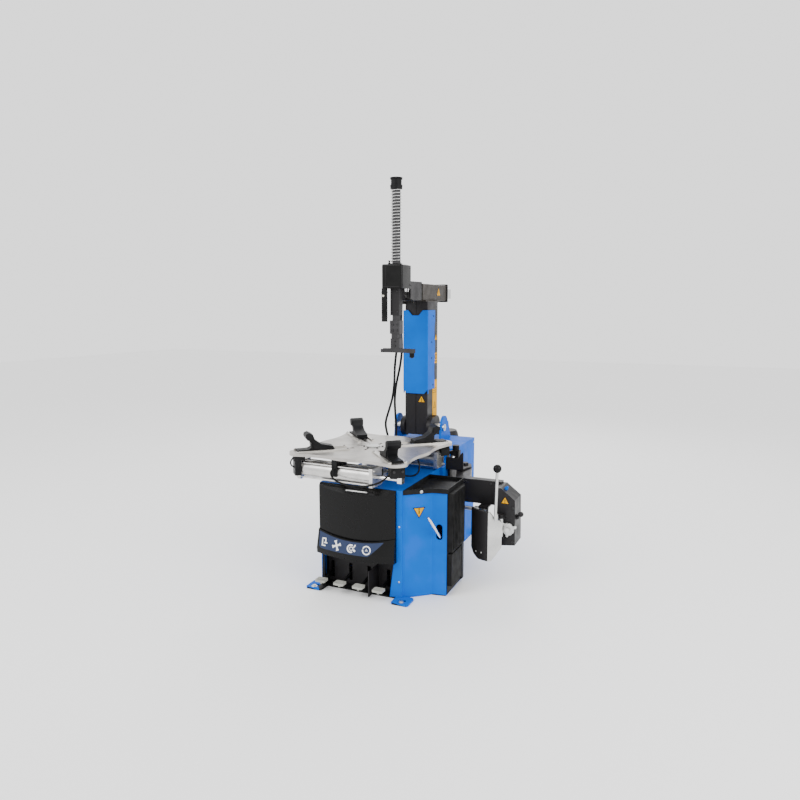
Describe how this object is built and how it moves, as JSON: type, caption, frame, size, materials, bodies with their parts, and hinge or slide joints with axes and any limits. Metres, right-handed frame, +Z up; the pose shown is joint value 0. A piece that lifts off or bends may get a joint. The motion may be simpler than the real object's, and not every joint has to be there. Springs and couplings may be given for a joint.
{
  "type": "tire changer machine",
  "caption": "Workshop tyre changer: floor cabinet with a clamping turntable, tilt-back column with sliding arm and mounting head, foot pedals and a side bead breaker.",
  "frame": {"origin": "on the floor, straight below the turntable's axis", "axes": "+Z up; -Y towards the operator and the pedals; +X towards the bead breaker"},
  "size_m": [1.0686, 1.3736, 2],
  "materials": {
    "blue_paint": "glossy",
    "dark_paint": "satin",
    "grey_paint": "satin",
    "light_steel": "satin",
    "table_steel": "brushed",
    "dark_steel": "satin",
    "bright_chrome": "polished",
    "cylinder_aluminium": "satin",
    "gloss_black": "glossy",
    "matt_black": "satin",
    "rubber_black": "matt",
    "pedal_coat": "satin",
    "cream_plastic": "satin"
  },
  "bodies": {
    "cabinet": {"cabinet_chassis": "blue_paint", "left_cover": "blue_paint", "front_cover": "gloss_black", "control_bezel": "gloss_black", "kick_plate": "dark_paint", "side_housing": "blue_paint", "side_tray": "matt_black", "side_pads": "rubber_black", "rear_box": "blue_paint", "column_pivot_pin": "light_steel", "tilt_cylinder": "cylinder_aluminium", "breaker_bracket": "dark_paint", "air_tank": "dark_paint", "air_regulator": "matt_black", "glands": "light_steel", "gearbox_housing": "cylinder_aluminium", "drive_belt": "rubber_black", "drive_motor": "dark_paint", "pedal_frame": "dark_steel", "column_hose_left": "rubber_black", "column_hose_right": "rubber_black"},
    "regulator_dial": {"regulator_knob": "matt_black"},
    "worm": {"worm_shaft": "dark_steel"},
    "motor_rotor": {"motor_shaft": "dark_steel"},
    "bead_barrel": {"bead_cylinder": "cylinder_aluminium"},
    "bead_piston": {"breaker_rod": "light_steel"},
    "turntable": {"turntable_plate": "table_steel", "turntable_shaft": "light_steel", "table_fittings": "matt_black", "clamp_cylinders": "cylinder_aluminium"},
    "clamp_piston_front": {"clamp_rod_front": "bright_chrome"},
    "clamp_piston_back": {"clamp_rod_back": "bright_chrome"},
    "column": {"column_tube": "dark_paint", "column_cover": "blue_paint", "arm_guide": "grey_paint"},
    "tilt_piston": {"tilt_rod": "bright_chrome"},
    "arm": {"slide_arm": "light_steel", "arm_head": "dark_paint", "head_housing": "gloss_black", "lock_grip": "rubber_black", "shaft_spring": "light_steel"},
    "button": {"lock_button": "cream_plastic"},
    "head_shaft": {"hex_shaft": "dark_steel", "shaft_cap": "matt_black", "mount_head": "dark_steel", "mount_foot": "dark_steel"},
    "roller": {"head_roller": "rubber_black"},
    "breaker": {"breaker_arm": "dark_paint"},
    "stop_dial": {"blade_stop_knob": "light_steel"},
    "blade": {"blade_face": "dark_paint", "blade_holder": "light_steel"},
    "lever": {"tyre_lever": "bright_chrome"},
    "jaw_1_body": {"jaw_1": "light_steel"},
    "jaw_2_body": {"jaw_2": "light_steel"},
    "jaw_3_body": {"jaw_3": "light_steel"},
    "jaw_4_body": {"jaw_4": "light_steel"},
    "pedal_1_body": {"pedal_1": "pedal_coat"},
    "pedal_2_body": {"pedal_2": "pedal_coat"},
    "pedal_3_body": {"pedal_3": "pedal_coat"},
    "pedal_4_body": {"pedal_4": "pedal_coat"}
  },
  "joints": [
    {"name": "column_tilt", "type": "hinge", "parent": "cabinet", "child": "column", "pos_m": [0, 0.612, 0.664], "axis": [-1, 0, 0], "range_deg": [0, 25], "stiffness_Nm_per_rad": 400, "springref_deg": -28.65},
    {"name": "tilt_stroke", "type": "slide", "parent": "cabinet", "child": "tilt_piston", "axis": [0, 0, -1], "range_m": [0, 0.0585]},
    {"name": "arm_reach", "type": "slide", "parent": "column", "child": "arm", "axis": [0, -1, 0], "range_m": [0, 0.14]},
    {"name": "shaft_drop", "type": "slide", "parent": "arm", "child": "head_shaft", "axis": [0, 0, -1], "range_m": [0, 0.25], "stiffness_N_per_m": 300, "springref_m": -0.6, "deforming": ["shaft_spring"]},
    {"name": "button_press", "type": "slide", "parent": "arm", "child": "button", "axis": [0, 1, 0], "range_m": [0, 0.003], "stiffness_N_per_m": 800, "springref_m": -0.003},
    {"name": "roller_spin", "type": "hinge", "parent": "head_shaft", "child": "roller", "pos_m": [0.1, 0.256, 1.1], "axis": [0, 0, 1], "continuous": true},
    {"name": "turntable_spin", "type": "hinge", "parent": "cabinet", "child": "turntable", "pos_m": [0, 0, 0.6], "axis": [0, 0, 1], "continuous": true},
    {"name": "worm_spin", "type": "hinge", "parent": "cabinet", "child": "worm", "pos_m": [-0.08, -0.1, 0.478], "axis": [0, 1, 0], "continuous": true},
    {"name": "motor_spin", "type": "hinge", "parent": "cabinet", "child": "motor_rotor", "pos_m": [-0.074, -0.1, 0.176], "axis": [0, 1, 0], "continuous": true},
    {"name": "clamp_front_slide", "type": "slide", "parent": "turntable", "child": "clamp_piston_front", "axis": [0.9986, -0.0523, 0], "range_m": [-0.0955, 0.0295]},
    {"name": "clamp_back_slide", "type": "slide", "parent": "turntable", "child": "clamp_piston_back", "axis": [-0.9986, 0.0523, 0], "range_m": [-0.0955, 0.0295]},
    {"name": "jaw_1_slide", "type": "slide", "parent": "turntable", "child": "jaw_1_body", "axis": [0.7431, 0.6691, 0], "range_m": [-0.13, 0.04]},
    {"name": "jaw_2_slide", "type": "slide", "parent": "turntable", "child": "jaw_2_body", "axis": [-0.6691, 0.7431, 0], "range_m": [-0.13, 0.04]},
    {"name": "jaw_3_slide", "type": "slide", "parent": "turntable", "child": "jaw_3_body", "axis": [-0.7431, -0.6691, 0], "range_m": [-0.13, 0.04]},
    {"name": "jaw_4_slide", "type": "slide", "parent": "turntable", "child": "jaw_4_body", "axis": [0.6691, -0.7431, 0], "range_m": [-0.13, 0.04]},
    {"name": "pedal_1_press", "type": "hinge", "parent": "cabinet", "child": "pedal_1_body", "pos_m": [-0.137, -0.11, 0.078], "axis": [1, 0, 0], "range_deg": [0, 6], "stiffness_Nm_per_rad": 6, "springref_deg": -28.65},
    {"name": "pedal_2_press", "type": "hinge", "parent": "cabinet", "child": "pedal_2_body", "pos_m": [-0.038, -0.11, 0.078], "axis": [1, 0, 0], "range_deg": [0, 6], "stiffness_Nm_per_rad": 6, "springref_deg": -28.65},
    {"name": "pedal_3_press", "type": "hinge", "parent": "cabinet", "child": "pedal_3_body", "pos_m": [0.062, -0.11, 0.078], "axis": [1, 0, 0], "range_deg": [0, 6], "stiffness_Nm_per_rad": 6, "springref_deg": -28.65},
    {"name": "pedal_4_press", "type": "hinge", "parent": "cabinet", "child": "pedal_4_body", "pos_m": [0.165, -0.11, 0.078], "axis": [1, 0, 0], "range_deg": [0, 6], "stiffness_Nm_per_rad": 6, "springref_deg": -28.65},
    {"name": "breaker_swing", "type": "hinge", "parent": "cabinet", "child": "breaker", "pos_m": [0.345, 0.4, 0.44], "axis": [0, 0, 1], "range_deg": [-4.5, 35]},
    {"name": "barrel_swivel", "type": "hinge", "parent": "cabinet", "child": "bead_barrel", "pos_m": [0.2, 0.142, 0.358], "axis": [0, 0, 1], "range_deg": [-3, 20]},
    {"name": "breaker_stroke", "type": "slide", "parent": "bead_barrel", "child": "bead_piston", "axis": [1, 0, 0], "range_m": [-0.0195, 0.1445]},
    {"name": "blade_swivel", "type": "hinge", "parent": "breaker", "child": "blade", "pos_m": [0.64, 0.066, 0.3], "axis": [0, 0, 1], "range_deg": [-6, 6]},
    {"name": "stop_knob_turn", "type": "hinge", "parent": "breaker", "child": "stop_dial", "pos_m": [0.672, 0.08, 0.296], "axis": [0, -1, 0], "range_deg": [0, 180]},
    {"name": "regulator_turn", "type": "hinge", "parent": "cabinet", "child": "regulator_dial", "pos_m": [0.322, 0.326, 0.61], "axis": [0, 0, 1], "range_deg": [-150, 150]},
    {"name": "lever_pull", "type": "slide", "parent": "cabinet", "child": "lever", "axis": [-0.1048, -0.6637, 0.7406], "range_m": [0, 0.3]}
  ],
  "couplings": [
    {"joint": "tilt_stroke", "follows": "column_tilt", "m_per_rad": 0.1331},
    {"joint": "worm_spin", "follows": "turntable_spin", "ratio": 36},
    {"joint": "motor_spin", "follows": "turntable_spin", "ratio": 50.4},
    {"joint": "barrel_swivel", "follows": "breaker_swing", "ratio": 0.546},
    {"joint": "breaker_stroke", "follows": "breaker_swing", "m_per_rad": 0.235},
    {"joint": "jaw_2_slide", "follows": "jaw_1_slide", "ratio": 1},
    {"joint": "jaw_3_slide", "follows": "jaw_1_slide", "ratio": 1},
    {"joint": "jaw_4_slide", "follows": "jaw_1_slide", "ratio": 1},
    {"joint": "clamp_front_slide", "follows": "jaw_1_slide", "ratio": 0.7},
    {"joint": "clamp_back_slide", "follows": "jaw_1_slide", "ratio": 0.7}
  ]
}
